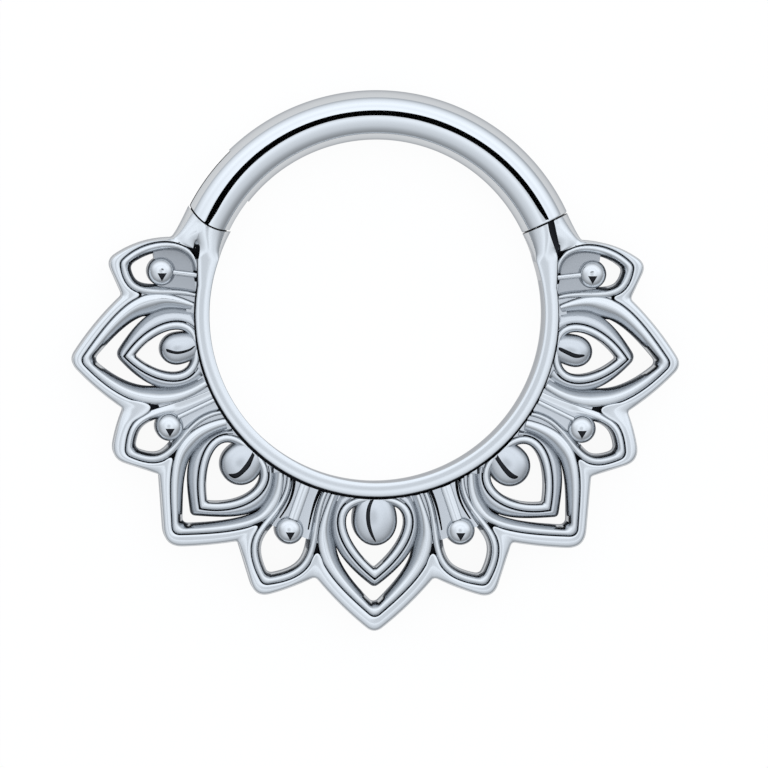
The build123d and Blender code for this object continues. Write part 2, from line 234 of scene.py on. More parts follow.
# The heights of upright cutters
CUT = (-1.0, 2.0)
TALL_CUT = (-1.0, 3.0)

# How the drawing's lines are followed, lengthened to meet at a tip, and rounded
CURVE_STEPS = 200
TIP_REACH = 0.6
START_SEARCH = 0.25
BEND_STEPS = 25
CORNER_BACK = 6
CORNER_CUTS = 3

# Fineness of the meshes
STEP = 0.07
END_CROWDING = 0.6
SLOPE_POWER = 1.5
CREST_EDGE = 0.07
SIDE_STEPS = 6
LOW_STEPS = 4
DOME_STEPS = 12
PANEL_STEPS = 24
STEM_STEPS = 12
ROUND_STEPS = 72
BEAD_STEPS = 64
DISC_STEPS = 160
BEVEL_STEPS = 6
RIM_STEPS = (60, 300)
RIM_GROOVE_STEPS = 120
FLOOR_STEPS = 60
V_GAP_STEPS = 220
DROP_STEPS = 140
SHARP_ANGLE = 32.0


# Finishes and painted shade

# How much of its color a metal keeps towards its silhouette
EDGE_TINT = (0.55, 0.56, 0.58, 1.0)
PATCH_SCALE = 900.0
PATCH_DETAIL = 3.0
GRAIN_SCALE = 6000.0
GRAIN_DEPTH = 0.00001


def put(node, **values):
    """Sets a node's inputs. An underscore in a name stands for a space."""
    for name, value in values.items():
        node.inputs[name.replace("_", " ")].default_value = value


def metal(name, color, roughness, variation=0.0, grain=0.0):
    """A metal whose roughness varies in soft patches, with a fine grain on its surface."""
    material = bpy.data.materials.new(name)
    material.use_nodes = True
    nodes, links = material.node_tree.nodes, material.node_tree.links
    shader = nodes["Principled BSDF"]
    put(shader, Metallic=1.0, Base_Color=(*color, 1.0), Roughness=roughness, Specular_Tint=EDGE_TINT)
    place = nodes.new("ShaderNodeTexCoord")

    def noise(scale):
        node = nodes.new("ShaderNodeTexNoise")
        put(node, Scale=scale)
        links.new(place.outputs["Object"], node.inputs["Vector"])
        return node

    if variation:
        patches = noise(PATCH_SCALE)
        put(patches, Detail=PATCH_DETAIL)
        spread = nodes.new("ShaderNodeMapRange")
        put(spread, To_Min=roughness - variation, To_Max=roughness + variation)
        links.new(patches.outputs["Fac"], spread.inputs["Value"])
        links.new(spread.outputs["Result"], shader.inputs["Roughness"])
    if grain:
        fine = noise(GRAIN_SCALE)
        bump = nodes.new("ShaderNodeBump")
        put(bump, Strength=grain, Distance=GRAIN_DEPTH)
        links.new(fine.outputs["Fac"], bump.inputs["Height"])
        links.new(bump.outputs["Normal"], shader.inputs["Normal"])
    return material


CAST_STEEL = metal("cast_steel", (0.60, 0.62, 0.64), 0.13, variation=0.03, grain=0.05)
# Near-black steel: painted shade in grooves, slots, hollows, the web and cut faces, and painted reflection
# in the bead marks and bud furrows.
PAINTED_DARK_STEEL = metal("painted_dark_steel", (0.02, 0.021, 0.024), 0.45, variation=0.05, grain=0.10)
BAR_STEEL = metal("bar_steel", (0.61, 0.63, 0.65), 0.05, variation=0.01)
# Rougher satin steel; its colour, darker than the bright steel's, is painted shade.
SATIN_STEEL = metal("satin_steel", (0.50, 0.52, 0.545), 0.24, variation=0.04, grain=0.08)
# Darker steel for upright walls, gap walls and the end panels: painted shade.
WALL_SHADE_STEEL = metal("wall_shade_steel", (0.36, 0.375, 0.395), 0.30, variation=0.05, grain=0.10)
PIN_STEEL = metal("pin_steel", (0.66, 0.68, 0.70), 0.28, variation=0.05, grain=0.10)

# The casting's four materials, by their place in its list of materials: bright steel, near-black painted
# shade and reflection, satin steel, and the walls' painted shade
CAST_FINISHES_AND_PAINTED_SHADING = (CAST_STEEL, PAINTED_DARK_STEEL, SATIN_STEEL, WALL_SHADE_STEEL)
# DARK paints shade into grooves, slots, hollows, the web and cut faces, and paints the reflections in the
# bead marks and bud furrows. WALL paints shade on upright walls and the end panels. SATIN is rougher, and
# its darker colour is painted shade.
BRIGHT, DARK, SATIN, WALL = range(4)


# Plane curves


def polar(radius, angle, center=(0.0, 0.0)):
    turn = math.radians(angle)
    return np.array([center[0] + radius * math.cos(turn), center[1] + radius * math.sin(turn)])


PIVOT = polar(BAR_R, PIVOT_ANGLE)


def bezier(row, start=0.0, end=1.0):
    t = np.linspace(start, end, CURVE_STEPS)[:, None]
    a, b, c, d = np.array(row, float)
    return (1 - t) ** 3 * a + 3 * t * (1 - t) ** 2 * b + 3 * t**2 * (1 - t) * c + t**3 * d


def arc(center, radius, start, end, count=96):
    return np.array([polar(radius, angle, center) for angle in np.linspace(start, end, count)])


def lengths(points):
    steps = np.linalg.norm(np.diff(points, axis=0), axis=1)
    return np.concatenate([[0.0], np.cumsum(steps)])


def at_lengths(points, places):
    run = lengths(points)
    return np.stack([np.interp(places, run, points[:, k]) for k in (0, 1)], axis=1)


def resampled(points, count):
    return at_lengths(points, np.linspace(0.0, lengths(points)[-1], count))


def shifted(points, distance):
    """A run moved to its left by a distance, which may differ from point to point."""
    along = np.gradient(points, axis=0)
    normal = np.stack([-along[:, 1], along[:, 0]], axis=1)
    normal /= np.linalg.norm(normal, axis=1)[:, None]
    return points + normal * np.reshape(distance, (-1, 1))


def crossing(first, second):
    """The first place on a run where it crosses another: the segment numbers and the point."""
    q, s = second[:-1], np.diff(second, axis=0)
    for i in range(len(first) - 1):
        p, r = first[i], first[i + 1] - first[i]
        span = r[0] * s[:, 1] - r[1] * s[:, 0]
        span[np.abs(span) < 1e-15] = 1e-15
        gap = q - p
        t = (gap[:, 0] * s[:, 1] - gap[:, 1] * s[:, 0]) / span
        u = (gap[:, 0] * r[1] - gap[:, 1] * r[0]) / span
        hits = np.where((t >= 0) & (t <= 1) & (u >= 0) & (u <= 1))[0]
        if len(hits):
            return i, hits[0], p + t[hits[0]] * r
    raise ValueError("two lines of the drawing should cross, and don't")


def lengthened(points):
    direction = points[-1] - points[-4]
    direction /= np.linalg.norm(direction)
    more = points[-1] + np.outer(np.linspace(0.0, TIP_REACH, 9)[1:], direction)
    return np.vstack([points, more])


def joined(a, b):
    """Two runs towards one tip, lengthened and then cut where they cross."""
    a, b = lengthened(a), lengthened(b)
    half_a, half_b = len(a) // 2, len(b) // 2
    i, j, corner = crossing(a[half_a:], b[half_b:])
    return np.vstack([a[: half_a + i + 1], corner]), np.vstack([b[: half_b + j + 1], corner])


def rounded(a, b, radius):
    """Two runs that end at one corner, which is rounded. Both then end in the rounding's middle."""
    corner = a[-1]
    back_a, back_b = a[-CORNER_BACK] - corner, b[-CORNER_BACK] - corner
    cosine = back_a @ back_b / np.linalg.norm(back_a) / np.linalg.norm(back_b)
    reach = radius / math.tan(math.acos(cosine) / 2)
    a, b = [at_lengths(run, np.linspace(0.0, lengths(run)[-1] - reach, CURVE_STEPS)) for run in (a, b)]
    start, end = a[-1], b[-1]
    t = np.linspace(0.0, 1.0, BEND_STEPS)[:, None]
    bend = (1 - t) ** 2 * start + 2 * t * (1 - t) * corner + t**2 * end
    half = BEND_STEPS // 2
    return np.vstack([a, bend[1 : half + 1]]), np.vstack([b, bend[-2 : half - 1 : -1]])


def rim_start(row):
    """Where along a petal curve, lengthened past its end, it reaches the groove outside the rim."""
    points = bezier(row, -START_SEARCH, START_SEARCH)
    radius = np.linalg.norm(points - np.array(RIM_CENTER), axis=1)
    places = np.linspace(-START_SEARCH, START_SEARCH, len(points))
    beyond = np.where(radius > RIM_OUTER_R + RIM_GROOVE / 2)[0]
    return places[beyond[0]]


def petal_arms(lines, petal, start=0.0, from_rim=False):
    """The two curves of a petal line, from the rim to the tip."""
    arms = [bezier(row, rim_start(row) if from_rim else start) for row in lines[petal]]
    return arms if len(arms) == 2 else [arms[0], arms[0] * (-1, 1)]


def moved_in(arms, distance, petal):
    """Both curves of a petal moved towards its bud or bead, and joined again at the tip."""
    inside = np.array(BUDS[petal][:2] if petal in BUDS else BEADS[petal])
    distances = distance if isinstance(distance, list) else [distance, distance]
    out = []
    for run, amount in zip(arms, distances):
        middle = len(run) * 3 // 5
        trial = shifted(run, 0.01)[middle]
        sign = 1 if np.linalg.norm(trial - inside) < np.linalg.norm(run[middle] - inside) else -1
        out.append(shifted(run, sign * np.asarray(amount)))
    return joined(*out)


# Solids


def add_finishes(mesh, finish):
    """Gives a mesh the casting's finishes and painted shades, and its faces one of them or each its own."""
    for material in CAST_FINISHES_AND_PAINTED_SHADING:
        mesh.materials.append(material)
    indices = np.broadcast_to(np.asarray(finish, np.int32), (len(mesh.polygons),))
    mesh.polygons.foreach_set("material_index", np.ascontiguousarray(indices))


def linked(name, data):
    obj = bpy.data.objects.new(name, data)
    bpy.context.scene.collection.objects.link(obj)
    return obj


def mesh_object(name, vertices, faces, finish=BRIGHT):
    mesh = bpy.data.meshes.new(name)
    mesh.from_pydata([tuple(v) for v in vertices], [], faces)
    add_finishes(mesh, finish)
    work = bmesh.new()
    work.from_mesh(mesh)
    bmesh.ops.recalc_face_normals(work, faces=work.faces)
    work.to_mesh(mesh)
    work.free()
    return linked(name, mesh)


class Profile:
    """A strip's cross-section: its crest's place and height, and how its two sides fall from it."""

    def __init__(self, top, crest, slope_a, fall_a, slope_b, fall_b, low=STRIP_LOW, low_rise=STRIP_LOW_RISE):
        self.values = [top, crest, slope_a, fall_a, slope_b, fall_b, low, low_rise]

    def blended(self, other, share):
        """This section at share 0 and the other at share 1, for a whole run of shares."""
        return Profile(*[a + (b - a) * share for a, b in zip(self.values, other.values)])

    def over(self, count):
        return [np.broadcast_to(np.asarray(v, float), (count,))[:, None] for v in self.values]


ROUND = Profile(2 * TUBE_R, 0.5, 0.0, TUBE_R, 0.0, TUBE_R, 0.0, TUBE_R)


def loft(name, edge_a, edge_b, profile, closed=False, finish=BRIGHT, wall=None):
    """A strip with this cross-section between two edges. Its upright sides may have their own material: the
    walls' painted shade.
    """
    count = len(edge_a)
    top, crest, slope_a, fall_a, slope_b, fall_b, low, low_rise = profile.over(count)
    turns = np.linspace(0.0, math.pi / 2, SIDE_STEPS + 1)
    q = np.sort(np.append(np.sin(turns), CREST_EDGE))[None, :]
    drop = 1 - np.sqrt(np.maximum(0.0, 1 - q * q))
    slope = q**SLOPE_POWER
    u_a, z_a = crest * (1 - q), top - slope_a * slope - fall_a * drop
    u_b, z_b = crest + (1 - crest) * q, top - slope_b * slope - fall_b * drop
    turn = np.linspace(0.0, math.pi, LOW_STEPS + 1)[None, :]
    u_low = np.broadcast_to(0.5 + 0.5 * np.cos(turn), (count, LOW_STEPS + 1))
    z_low = low + low_rise - low_rise * np.sin(turn)
    u = np.hstack([u_a[:, ::-1], u_b[:, 1:], u_low])
    z = np.hstack([z_a[:, ::-1], z_b[:, 1:], z_low])
    xy = edge_a[:, None, :] + (edge_b - edge_a)[:, None, :] * u[:, :, None]
    ring = u.shape[1]
    vertices = np.concatenate([xy, z[:, :, None]], axis=2).reshape(-1, 3)
    faces, finishes = [], []
    first_low = ring - LOW_STEPS - 2
    for i in range(count if closed else count - 1):
        j = (i + 1) % count
        for k in range(ring):
            m = (k + 1) % ring
            faces.append((i * ring + k, i * ring + m, j * ring + m, j * ring + k))
            finishes.append(wall if wall is not None and k >= first_low else finish)
    if not closed:
        faces.append(tuple(range(ring)))
        faces.append(tuple(range((count - 1) * ring, count * ring)))
        finishes += [finish, finish]
    return mesh_object(name, vertices, faces, finishes)


def prism(name, outline, low, high, finish=BRIGHT):
    """An upright solid over a closed outline."""
    count = len(outline)
    vertices = [(x, y, low) for x, y in outline] + [(x, y, high) for x, y in outline]
    faces = [(i, (i + 1) % count, count + (i + 1) % count, count + i) for i in range(count)]
    faces.append(tuple(range(count)))
    faces.append(tuple(range(count, 2 * count)))
    return mesh_object(name, vertices, faces, finish)


def disc(name, center, radius, low, high, count=96, finish=BRIGHT):
    outline = [polar(radius, 360 * i / count, center) for i in range(count)]
    return prism(name, outline, low, high, finish)


def sector(name, center, inner, outer, start, end, low, high, finish=BRIGHT):
    """A flat sector of a ring."""
    outline = np.vstack([arc(center, inner, start, end), arc(center, outer, end, start)])
    return prism(name, outline, low, high, finish)


def dome(name, outline, center, top, fall, low, finish=BRIGHT):
    """A rounded cap over a closed outline, on an upright wall that gets the walls' painted shade."""
    center = np.asarray(center)
    count = len(outline)
    vertices = [(*center, top)]
    for turn in np.linspace(0.0, math.pi / 2, DOME_STEPS + 1)[1:]:
        ring = center + math.sin(turn) * (outline - center)
        level = top - fall * (1 - math.cos(turn))
        vertices += [(x, y, level) for x, y in ring]
    vertices += [(x, y, low) for x, y in outline]
    faces = [(0, 1 + i, 1 + (i + 1) % count) for i in range(count)]
    for k in range(DOME_STEPS):
        first, second = 1 + k * count, 1 + (k + 1) * count
        for i in range(count):
            j = (i + 1) % count
            faces.append((first + i, second + i, second + j, first + j))
    last = 1 + DOME_STEPS * count
    faces.append(tuple(range(last, last + count)))
    finishes = [finish] * (DOME_STEPS * count) + [WALL] * (count + 1)
    return mesh_object(name, vertices, faces, finishes)


def mirror(obj):
    """Turns the object into its mirror image across the ring's middle."""
    work = bmesh.new()
    work.from_mesh(obj.data)
    for vertex in work.verts:
        vertex.co.x = -vertex.co.x
    bmesh.ops.reverse_faces(work, faces=work.faces)
    work.to_mesh(obj.data)
    work.free()
    return obj


def both_sides(petal, *objects):
    """A petal's objects, each with its mirror image unless the petal is the bottom one."""
    if petal == "bottom":
        return list(objects)
    return [one for obj in objects for one in (obj, mirror(linked(obj.name, obj.data.copy())))]


def combine(target, others, operation):
    """Joins or cuts with solids, which are then deleted."""
    for other in others:
        modifier = target.modifiers.new("combine", "BOOLEAN")
        modifier.operation = operation
        modifier.solver = "MANIFOLD"
        modifier.object = other
    graph = bpy.context.evaluated_depsgraph_get()
    result = bpy.data.meshes.new_from_object(target.evaluated_get(graph))
    target.modifiers.clear()
    target.data = result
    for other in others:
        bpy.data.objects.remove(other)
    return target


# The strips of the base


def step_count(*runs):
    """How many points the longest of these runs gets."""
    return max(4, int(max(lengths(run)[-1] for run in runs) / STEP))


def paired(outer, inner):
    """Two edges in matched points, closer at the corners, each given as its runs between them."""
    edges = ([], [])
    for run_outer, run_inner in zip(outer, inner):
        share = np.linspace(0.0, 1.0, step_count(run_outer, run_inner))
        share -= END_CROWDING * np.sin(2 * math.pi * share) / (2 * math.pi)
        for edge, run in zip(edges, (run_outer, run_inner)):
            edge.append(at_lengths(run, share * lengths(run)[-1])[0 if not edge else 1 :])
    return np.vstack(edges[0]), np.vstack(edges[1])


def there_and_back(arms):
    """A petal line as two runs: up one side to the tip and down the other."""
    return [arms[0], arms[1][::-1]]


def around(arms):
    """Two runs that end at one tip as a single line: up the first and down the second."""
    return np.vstack([arms[0], arms[1][-2::-1]])


def whole(edge):
    """An edge of the right half, and on as its mirror image from its end at the bottom."""
    return np.vstack([edge, edge[-2::-1] * (-1, 1)])


def sloped(profile, width):
    """A section whose inner side falls at one slant, however wide the strip is."""
    values = list(profile.values)
    values[4] = np.minimum(RIDGE_SLOPE_LIMIT, RIDGE_SLOPE * (1 - values[1]) * width)
    return Profile(*values)


def petal_strip(name, outer_arms, inner_arms, profile, closed=False, finish=BRIGHT, fade=None):
    """A strip along a petal line. A fade is where along it, and how far, it sinks to the panel."""
    edge_a, edge_b = paired(there_and_back(outer_arms), there_and_back(inner_arms))
    if profile is RIDGE:
        profile = sloped(profile, np.linalg.norm(edge_a - edge_b, axis=1))
    if closed:
        edge_a, edge_b = edge_a[:-1], edge_b[:-1]
    if fade:
        profile = profile.blended(PANEL, np.interp(np.linspace(0.0, 1.0, len(edge_a)), *fade))
    # The strip's upright sides get the walls' painted shade.
    return loft(name, edge_a, edge_b, profile, closed, finish, WALL)


RIDGE = Profile(RIDGE_TOP, 0.38, 0.02, 0.07, 0.0, 0.06, RELIEF_LOW)
BAND = Profile(BAND_TOP, 0.78, 0.14, 0.08, 0.0, 0.05, RELIEF_LOW)
LOOP = Profile(LOOP_TOP, 0.45, 0.0, 0.08, 0.05, 0.12, RELIEF_LOW)
BORDER = Profile(BORDER_TOP, 0.55, 0.02, 0.08, 0.0, 0.02)
RIM = Profile(RIM_TOP, 0.5, 0.0, 0.04, 0.0, 0.04)
STEM = Profile(STEM_TOP, 0.5, 0.01, 0.05, 0.01, 0.05)
PANEL = Profile(PANEL_TOP, 0.5, 0.0, 0.01, 0.0, 0.01)


def nearest(points, line):
    """The distance from each point to a line."""
    return np.linalg.norm(points[:, None, :] - line[None, :, :], axis=2).min(axis=1)


def widths_to(arms, lines, start):
    """Ridge widths that reach the next line up to its gap's start, and then settle to the full width."""
    out = []
    soft = WIDTH_SOFTNESS
    for run, line in zip(arms, lines):
        share = np.linspace(0.0, 1.0, len(run))
        reach = nearest(run, line) - 0.5 * GROOVE
        at_start = np.interp(start, share, reach)
        cap = RIDGE_W + (at_start - RIDGE_W) * np.clip((1.0 - share) / (1.0 - start), 0.0, 1.0)
        cap = np.where(share < start, np.maximum(cap, reach), cap)
        lap = BAND_LAP * np.clip((start - share) / BAND_LAP_FADE, 0.0, 1.0)
        out.append(lap - soft * np.log(np.exp(-reach / soft) + np.exp(-cap / soft)))
    return out


def ridge_inner_edge(petal, arms, lap=0.0):
    inner = petal_arms(INNER_LINES, petal, from_rim=True)
    widths = [width - lap for width in widths_to(arms, inner, V_GAP_START[petal][0])]
    return rounded(*moved_in(arms, widths, petal), GAP_TIP_R)


def large_petal(petal):
    """The ridge, the inner band and the loop of a large petal."""
    outer = petal_arms(OUTER_LINES, petal, from_rim=True)
    ridge_in = ridge_inner_edge(petal, outer)
    ridge_out = rounded(*moved_in(outer, 0.0, petal), TIP_R)
    inner = petal_arms(INNER_LINES, petal, from_rim=True)
    band_out = rounded(*moved_in(inner, 0.0, petal), BAND_TIP_R[petal])
    loop = petal_arms(LOOP_LINES, petal)
    band_in = moved_in(petal_arms(LOOP_LINES, petal, BAND_START), -(LOOP_HALF_W + LOOP_GROOVE), petal)
    loop_out = rounded(*moved_in(loop, -LOOP_HALF_W, petal), LOOP_OUTER_TIP_R)
    loop_in = rounded(*moved_in(loop, LOOP_HALF_W, petal), LOOP_TIP_R)
    return [
        petal_strip("ridge_" + petal, ridge_out, ridge_in, RIDGE),
        petal_strip("band_" + petal, band_out, band_in, BAND, finish=SATIN),
        petal_strip("loop_" + petal, loop_out, loop_in, LOOP, closed=True),
    ]


def ridge_width(start):
    """The width of a small ridge along its run: narrow at the rim and full where its gap starts."""
    share = np.clip(np.linspace(0.0, 1.0, CURVE_STEPS) / start, 0.0, 1.0)
    return SMALL_RIDGE_AT_RIM + (RIDGE_W - SMALL_RIDGE_AT_RIM) * share


def small_ridge_edges(petal):
    """The inner edges of a small petal's ridge, which meet at its tip."""
    outer = petal_arms(SMALL_LINES, petal, from_rim=True)
    widths = [ridge_width(start) for start in SMALL_GAP_START[petal]]
    return moved_in(outer, widths, petal)


def panel_edges(petal):
    """The two edges of a small petal's panel, and the directions from the first to the second."""
    starts = SMALL_GAP_START[petal]
    runs = [run[: int(start * CURVE_STEPS) + 2] for run, start in zip(small_ridge_edges(petal), starts)]
    a, b = [resampled(run, PANEL_STEPS) for run in runs]
    return a, b, (b - a) / np.linalg.norm(b - a, axis=1)[:, None]


# Stems from the rim to under the bead: both ends and the half width
STEMS = {
    "low": ((1.62, -4.20), (2.08, -5.54), 0.13),
    "mid": ((3.93, -2.39), (4.80, -2.81), 0.06),
    "end": ((4.38, 0.625), (4.95, 0.69), 0.065),
}
# The end petals' panels get the walls' painted shade, the others the satin steel.
PANEL_FINISH_AND_SHADE = {"low": SATIN, "mid": SATIN, "end": WALL}
# Where along its run, and how far, a small ridge sinks into the panel
FADES = {"mid": ((0.0, 0.66, 0.80, 1.0), (0.0, 0.0, 1.0, 1.0))}


def small_petal(petal):
    """The ridge, the sunk panel with its stem, and the bead of a small petal."""
    outer = petal_arms(SMALL_LINES, petal, from_rim=True)
    ridge_out = rounded(*moved_in(outer, 0.0, petal), TIP_R)
    ridge_in = rounded(*small_ridge_edges(petal), GAP_TIP_R)
    ridge = petal_strip("small_ridge_" + petal, ridge_out, ridge_in, RIDGE, fade=FADES.get(petal))
    a, b, across = panel_edges(petal)
    lap = across * PANEL_LAP
    panel = loft("panel_" + petal, a - lap, b + lap, PANEL, finish=PANEL_FINISH_AND_SHADE[petal])
    start, end, half_w = STEMS[petal]
    start, end = np.array(start), np.array(end)
    straight = start + np.linspace(0.0, 1.0, STEM_STEPS)[:, None] * (end - start)
    side = polar(half_w, math.degrees(math.atan2(*(end - start)[::-1])) + 90.0)
    stem = loft("stem_" + petal, straight - side, straight + side, STEM)
    return [ridge, panel, stem, bead(petal)]


def slots(petal):
    """The cuts for the two slots beside a stem, whose faces get the painted dark: painted shade."""
    a, b, across = panel_edges(petal)
    taper = np.linspace(SLOT_W, SLOT_END_W, PANEL_STEPS)[:, None]
    cuts = []
    for edge, sign in ((a, 1), (b, -1)):
        near, far = edge[SLOT_PART], (edge + sign * across * taper)[SLOT_PART]
        cuts.append(prism("slot_" + petal, np.vstack([near, far[::-1]]), WEB_TOP, CUT[1], finish=DARK))
    return cuts


def with_painted_reflection(body, cutter, core):
    """A rounded body with a shallow recess painted dark as a reflection: the cutter's shape, down to the
    core's surface.
    """
    return combine(body, [combine(cutter, [core], "DIFFERENCE")], "DIFFERENCE")


def bead(petal):
    """A round bead with a small three-cornered recess painted dark: a painted reflection."""
    center = np.array(BEADS[petal])
    outline = arc(center, BEAD_R, 0.0, 360.0, BEAD_STEPS + 1)[:-1]
    body = dome("bead_" + petal, outline, center, BEAD_TOP, BEAD_FALL, DOME_LOW)
    cutter = prism("mark_" + petal, np.array(BEAD_REFLECTION_MARK) + center, MARK_CUT_LOW, CUT[1], finish=DARK)
    core = dome("core_" + petal, outline, center, BEAD_TOP - MARK_DEPTH, BEAD_FALL, 0.0, finish=DARK)
    return with_painted_reflection(body, cutter, core)


# The furrow along each bud, a shallow recess painted dark as a reflection, from the rim to the free end:
# places along the bud and to its side, and the half width there. The right and the left bud of a pair
# differ.
REFLECTION_FURROWS = {
    "bottom": (
        ((-0.60, -0.04, 0.035), (-0.39, -0.158, 0.045), (-0.146, -0.194, 0.05),
         (0.097, -0.17, 0.048), (0.316, -0.097, 0.04), (0.50, 0.01, 0.022)),
    ),
    "lower": (
        ((-0.50, -0.10, 0.055), (-0.281, -0.141, 0.05), (0.022, -0.157, 0.06),
         (0.224, -0.129, 0.068), (0.336, -0.05, 0.055)),
        ((-0.50, -0.02, 0.03), (-0.22, -0.10, 0.055), (-0.065, -0.128, 0.066),
         (0.15, -0.12, 0.055), (0.257, -0.09, 0.065), (0.34, -0.03, 0.09), (0.39, 0.03, 0.07)),
    ),
    "side": (
        ((-0.43, -0.021, 0.045), (-0.205, -0.072, 0.05), (0.03, -0.118, 0.055), (0.237, -0.045, 0.03)),
        ((-0.43, -0.02, 0.02), (-0.275, -0.093, 0.028), (0.025, -0.099, 0.036),
         (0.203, -0.008, 0.045), (0.275, 0.035, 0.04)),
    ),
}


def softened(points):
    """A closed outline with its corners cut again and again."""
    for _ in range(CORNER_CUTS):
        ahead = np.roll(points, -1, axis=0)
        quarters = [0.75 * points + 0.25 * ahead, 0.25 * points + 0.75 * ahead]
        points = np.stack(quarters, axis=1).reshape(-1, 2)
    return points


def bud(petal, furrow):
    """A bud with its furrow, a shallow recess painted dark as a reflection."""
    x, y, direction, half_length, half_width = BUDS[petal]
    center = np.array([x, y])
    along = polar(1.0, direction)
    side = np.array([-along[1], along[0]])
    turns = np.linspace(0.0, 2 * math.pi, ROUND_STEPS + 1)[:-1]
    reach = np.where(np.cos(turns) > 0, half_length, BUD_RIM_REACH[petal]) * np.cos(turns)
    outline = center + np.outer(reach, along) + np.outer(half_width * np.sin(turns), side)
    body = dome("bud_" + petal, outline, center, BUD_TOP, BUD_FALL, DOME_LOW, SATIN)
    rows = np.array(furrow)
    spine = center + np.outer(rows[:, 0], along)
    edges = [spine + np.outer(rows[:, 1] + k * rows[:, 2], side) for k in (-1, 1)]
    shape = softened(np.vstack([edges[0], edges[1][::-1]]))
    cutter = prism("furrow_" + petal, shape, MARK_CUT_LOW, CUT[1], finish=DARK)
    core = dome("core_" + petal, outline, center, BUD_TOP - FURROW_DEPTH, BUD_FALL, 0.0, finish=DARK)
    return with_painted_reflection(body, cutter, core)


def outline_runs():
    """The right half of the outline: a run from corner to corner, the corners rounded."""
    rows = list(OUTLINE.values())
    corners = [np.array(row[:2]) for row in rows]
    runs = []
    for row, start, end in zip(rows, corners, corners[1:]):
        along = end - start
        left = np.array([-along[1], along[0]]) / np.linalg.norm(along)
        t = np.linspace(0.0, 1.0, CURVE_STEPS)[:, None]
        runs.append(start + t * along + 4 * t * (1 - t) * row[3] * left)
    return runs, rows


def arm_edge():
    """The tube's outer edge, from the seam down to the outline's first corner."""
    start = polar(BAR_R + TUBE_R, ARM_TOP_ANGLE)
    middle = polar(BAR_R + TUBE_R, ARM_MIDDLE_ANGLE)
    end = np.array(OUTLINE["arm"][:2])
    t = np.linspace(0.0, 1.0, CURVE_STEPS)[:, None]
    control = 2 * middle - (start + end) / 2
    return (1 - t) ** 2 * start + 2 * t * (1 - t) * control + t**2 * end


def arm_handle():
    """The first handle of the arms' edges, from where they start."""
    slant = math.radians(ARM_SLANT)
    return np.array([math.sin(slant), -math.cos(slant)]) * ARM_HANDLE


def border_edges():
    """The border's two edges over its right half, from the arm to the bottom tip."""
    runs, rows = outline_runs()
    outer = [arm_edge()] + runs
    for i, row in enumerate(rows[:-1]):
        before, after = rounded(outer[i], outer[i + 1][::-1], row[2])
        outer[i], outer[i + 1] = before, after[::-1]
    last, _ = rounded(outer[-1], outer[-1] * (-1, 1), rows[-1][2])
    outer[-1] = last
    inner = []
    for petal, arm in RUN_LINES:
        lines = OUTER_LINES if petal in OUTER_LINES else SMALL_LINES
        arms = rounded(*moved_in(petal_arms(lines, petal), -GROOVE, petal), TIP_R)
        inner.append(arms[arm])
    for i in range(1, len(inner) - 1, 2):
        first, second = inner[i][::-1], inner[i + 1][::-1]
        m, n, pit = crossing(first, second)
        first, second = np.vstack([first[: m + 1], pit]), np.vstack([second[: n + 1], pit])
        first, second = rounded(first, second, PIT_R)
        inner[i], inner[i + 1] = first[::-1], second[::-1]
    pit = np.array(ARM_PIT)
    inner[0] = np.vstack([pit, inner[0][len(inner[0]) // 8 :]])
    start = polar(BAR_R - TUBE_R, ARM_TOP_ANGLE)
    inner.insert(0, bezier((start, start + arm_handle(), pit + (-0.04, 0.45), pit)))
    for i in range(2, len(inner), 2):
        inner[i] = inner[i][::-1]
    return outer, inner


def out_of_round(profile, count, arm_count):
    """The sections of a whole strip: the round arm's at its ends, and the strip's own past the arms."""
    share = np.clip(np.arange(count) / arm_count, 0.0, 1.0)
    ease = share * share * (3 - 2 * share)
    return ROUND.blended(profile, np.append(ease, ease[-2::-1]))


def make_border():
    outer, inner = border_edges()
    edge_a, edge_b = paired(outer, inner)
    sections = out_of_round(BORDER, len(edge_a), step_count(outer[0], inner[0]) + 3.0)
    return mirrored_loft("border", edge_a, edge_b, sections, SATIN)


def mirrored_loft(name, edge_a, edge_b, profile, wall=None):
    """A strip that runs on as its own mirror image across the ring's middle."""
    return loft(name, whole(edge_a), whole(edge_b), profile, wall=wall)


def rim_outer_runs():
    """The rim's outer edge on the right: down the arm to its pit, and from there to the bottom."""
    start = polar(BAR_R + TUBE_R, ARM_TOP_ANGLE)
    pit = np.array(ARM_PIT) - (0.02, 0.0)
    low = polar(RIM_OUTER_R, RIM_ARC_ANGLE, RIM_CENTER)
    upper = bezier((start, start + arm_handle(), pit + (0.10, 0.45), pit))
    curve = bezier((pit, pit - (0.03, 0.14), low + (0.02, 0.25), low))
    return upper, np.vstack([curve, arc(RIM_CENTER, RIM_OUTER_R, RIM_ARC_ANGLE, -90.0, RIM_STEPS[1])[1:]])


def make_rim():
    """The band inside the petals, which grows into the round arms at both ends."""
    inner_r = RIM_INNER_R + RIM_LAP
    upper, outer_run = rim_outer_runs()
    inner_top = arc(RIM_CENTER, inner_r, RIM_START_ANGLE, RIM_TURN_ANGLE, RIM_STEPS[0])
    inner_low = arc(RIM_CENTER, inner_r, RIM_TURN_ANGLE, -90.0, RIM_STEPS[1])
    edge_a, edge_b = paired([upper, outer_run], [inner_top, inner_low])
    sections = out_of_round(RIM, len(edge_a), step_count(upper, inner_top) + 6.0)
    return mirrored_loft("rim", edge_a, edge_b, sections)


# The rim groove's width: places along the rim's outer edge from the pit to the bottom, and widths
RIM_GROOVE_WIDTHS = ((0.0, 0.12, 0.35, 0.65), (0.015, 0.03, 0.05, RIM_GROOVE))


